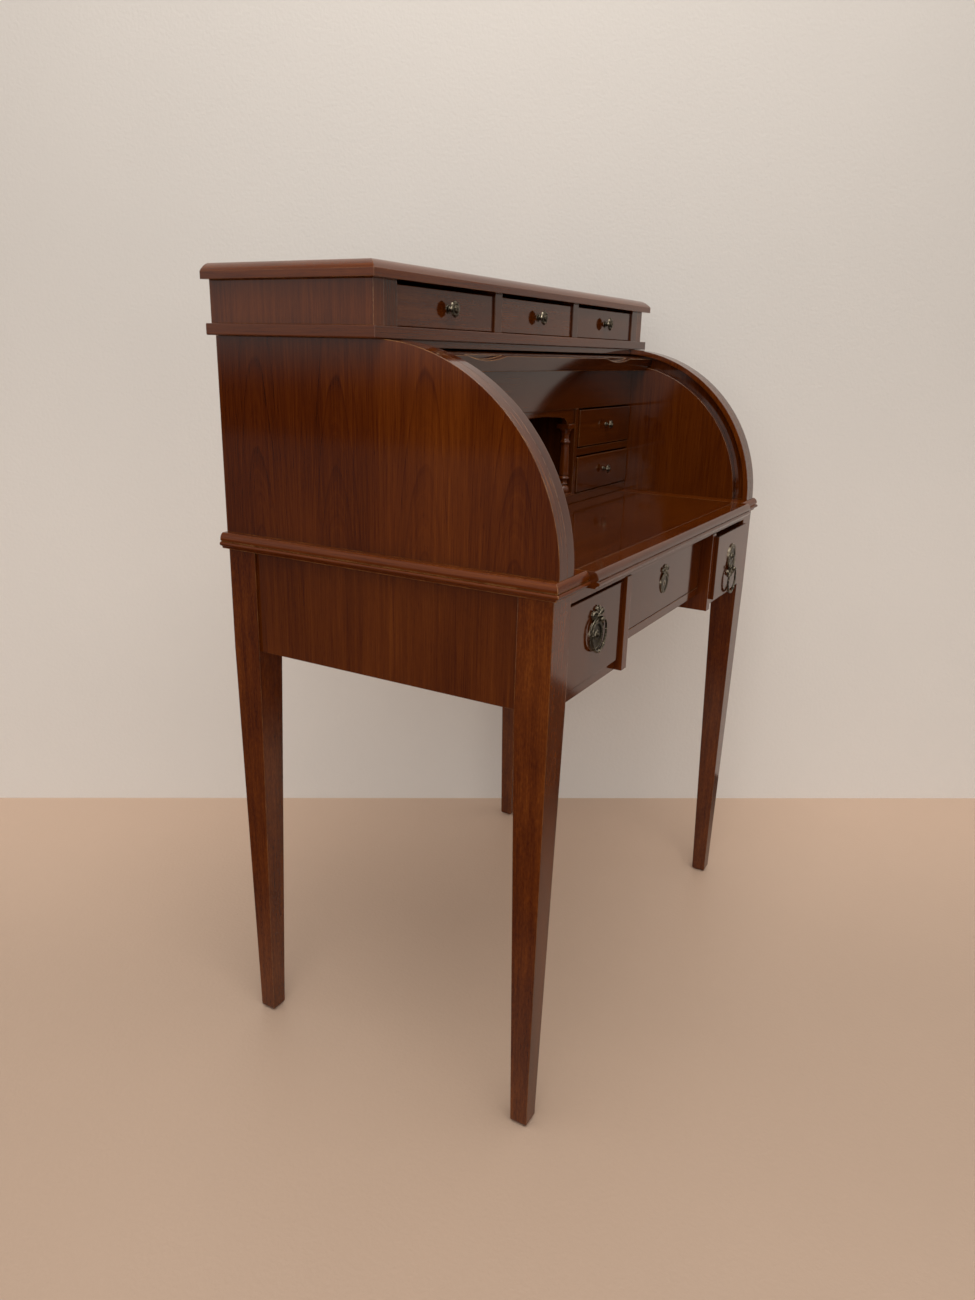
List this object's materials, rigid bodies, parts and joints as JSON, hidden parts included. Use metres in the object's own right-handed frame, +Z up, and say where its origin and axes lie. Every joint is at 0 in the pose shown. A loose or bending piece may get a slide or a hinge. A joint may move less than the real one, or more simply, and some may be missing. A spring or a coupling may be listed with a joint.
{
  "type": "roll top desk",
  "caption": "Ladies' roll top writing desk: quarter-round tambour case with gallery and interior drawers over a pull-out writing slide and frieze drawers on square tapered legs.",
  "frame": {"origin": "on the floor, under the middle of the whole desk's box", "axes": "+X to the sitter's right seen from the front, +Y towards the back of the desk, +Z up"},
  "size_m": [0.85, 0.517, 1.0965],
  "materials": {
    "cherry": "reddish-brown stained cherry under a satin lacquer",
    "drawer_wood": "unstained secondary wood, sealed",
    "back_panel": "thin stained plywood, matt",
    "canvas": "woven canvas glued to the back of the slats",
    "antique_brass": "dark antique brass, rubbed bright on its high points"
  },
  "bodies": {
    "desk": {"back_apron": "cherry", "belt_shelf": "cherry", "case_back": "back_panel", "case_side_left": "cherry", "case_side_right": "cherry", "case_top": "cherry", "cornice": "cherry", "desk_back_board": "cherry", "desk_side_board_left": "cherry", "desk_side_board_right": "cherry", "drawer_rails": "cherry", "drawer_runners": "drawer_wood", "frieze_divider_left": "cherry", "frieze_divider_right": "cherry", "frieze_top_rail": "cherry", "gallery_back": "back_panel", "gallery_sides": "cherry", "gallery_uprights": "cherry", "interior_case": "cherry", "interior_columns": "cherry", "interior_fascia": "cherry", "interior_valance": "cherry", "leg_back_left": "cherry", "leg_back_right": "cherry", "leg_front_left": "cherry", "leg_front_right": "cherry", "side_apron_left": "cherry", "side_apron_right": "cherry", "track_liners": "cherry", "track_rims": "cherry"},
    "tambour": {"tambour_slats": "cherry", "tambour_canvas": "canvas", "tambour_lead_rail": "cherry"},
    "writing_slide": {"writing_slide_board": "cherry", "writing_slide_edge": "cherry"},
    "gallery_drawer_left": {"gallery_drawer_left": "cherry", "gallery_knob_left": "antique_brass"},
    "frieze_drawer_left": {"frieze_drawer_front_left": "cherry", "frieze_drawer_box_left": "drawer_wood", "pull_plate_left": "antique_brass"},
    "gallery_drawer_centre": {"gallery_drawer_centre": "cherry", "gallery_knob_centre": "antique_brass"},
    "frieze_drawer_centre": {"frieze_drawer_front_centre": "cherry", "frieze_drawer_box_centre": "drawer_wood", "escutcheon": "antique_brass"},
    "gallery_drawer_right": {"gallery_drawer_right": "cherry", "gallery_knob_right": "antique_brass"},
    "frieze_drawer_right": {"frieze_drawer_front_right": "cherry", "frieze_drawer_box_right": "drawer_wood", "pull_plate_right": "antique_brass"},
    "bail_left": {"pull_bail_left": "antique_brass"},
    "bail_right": {"pull_bail_right": "antique_brass"},
    "interior_drawer_upper_left": {"interior_drawer_upper_left": "cherry", "interior_knob_upper_left": "antique_brass"},
    "interior_drawer_upper_right": {"interior_drawer_upper_right": "cherry", "interior_knob_upper_right": "antique_brass"},
    "interior_drawer_lower_left": {"interior_drawer_lower_left": "cherry", "interior_knob_lower_left": "antique_brass"},
    "interior_drawer_lower_right": {"interior_drawer_lower_right": "cherry", "interior_knob_lower_right": "antique_brass"}
  },
  "joints": [
    {"name": "tambour_roll", "type": "hinge", "parent": "desk", "child": "tambour", "pos_m": [0, 0.0115, 0.76], "axis": [1, 0, 0], "range_deg": [0, 77.7]},
    {"name": "writing_slide_pull", "type": "slide", "parent": "desk", "child": "writing_slide", "axis": [0, -1, 0], "range_m": [-0.011, 0.2]},
    {"name": "frieze_drawer_left_slide", "type": "slide", "parent": "desk", "child": "frieze_drawer_left", "axis": [0, -1, 0], "range_m": [-0.006, 0.28]},
    {"name": "frieze_drawer_centre_slide", "type": "slide", "parent": "desk", "child": "frieze_drawer_centre", "axis": [0, -1, 0], "range_m": [0, 0.28]},
    {"name": "frieze_drawer_right_slide", "type": "slide", "parent": "desk", "child": "frieze_drawer_right", "axis": [0, -1, 0], "range_m": [-0.0155, 0.27]},
    {"name": "gallery_drawer_left_slide", "type": "slide", "parent": "desk", "child": "gallery_drawer_left", "axis": [0, -1, 0], "range_m": [0, 0.16]},
    {"name": "gallery_drawer_centre_slide", "type": "slide", "parent": "desk", "child": "gallery_drawer_centre", "axis": [0, -1, 0], "range_m": [0, 0.16]},
    {"name": "gallery_drawer_right_slide", "type": "slide", "parent": "desk", "child": "gallery_drawer_right", "axis": [0, -1, 0], "range_m": [0, 0.16]},
    {"name": "interior_drawer_upper_left_slide", "type": "slide", "parent": "desk", "child": "interior_drawer_upper_left", "axis": [0, -1, 0], "range_m": [0, 0.11]},
    {"name": "interior_drawer_upper_right_slide", "type": "slide", "parent": "desk", "child": "interior_drawer_upper_right", "axis": [0, -1, 0], "range_m": [0, 0.11]},
    {"name": "interior_drawer_lower_left_slide", "type": "slide", "parent": "desk", "child": "interior_drawer_lower_left", "axis": [0, -1, 0], "range_m": [0, 0.11]},
    {"name": "interior_drawer_lower_right_slide", "type": "slide", "parent": "desk", "child": "interior_drawer_lower_right", "axis": [0, -1, 0], "range_m": [0, 0.11]},
    {"name": "bail_left_swing", "type": "hinge", "parent": "frieze_drawer_left", "child": "bail_left", "pos_m": [-0.279, -0.2412, 0.6905], "axis": [-1, 0, 0], "range_deg": [0, 95]},
    {"name": "bail_right_swing", "type": "hinge", "parent": "frieze_drawer_right", "child": "bail_right", "pos_m": [0.279, -0.2507, 0.654], "axis": [-1, 0, 0], "range_deg": [0, 95]}
  ]
}
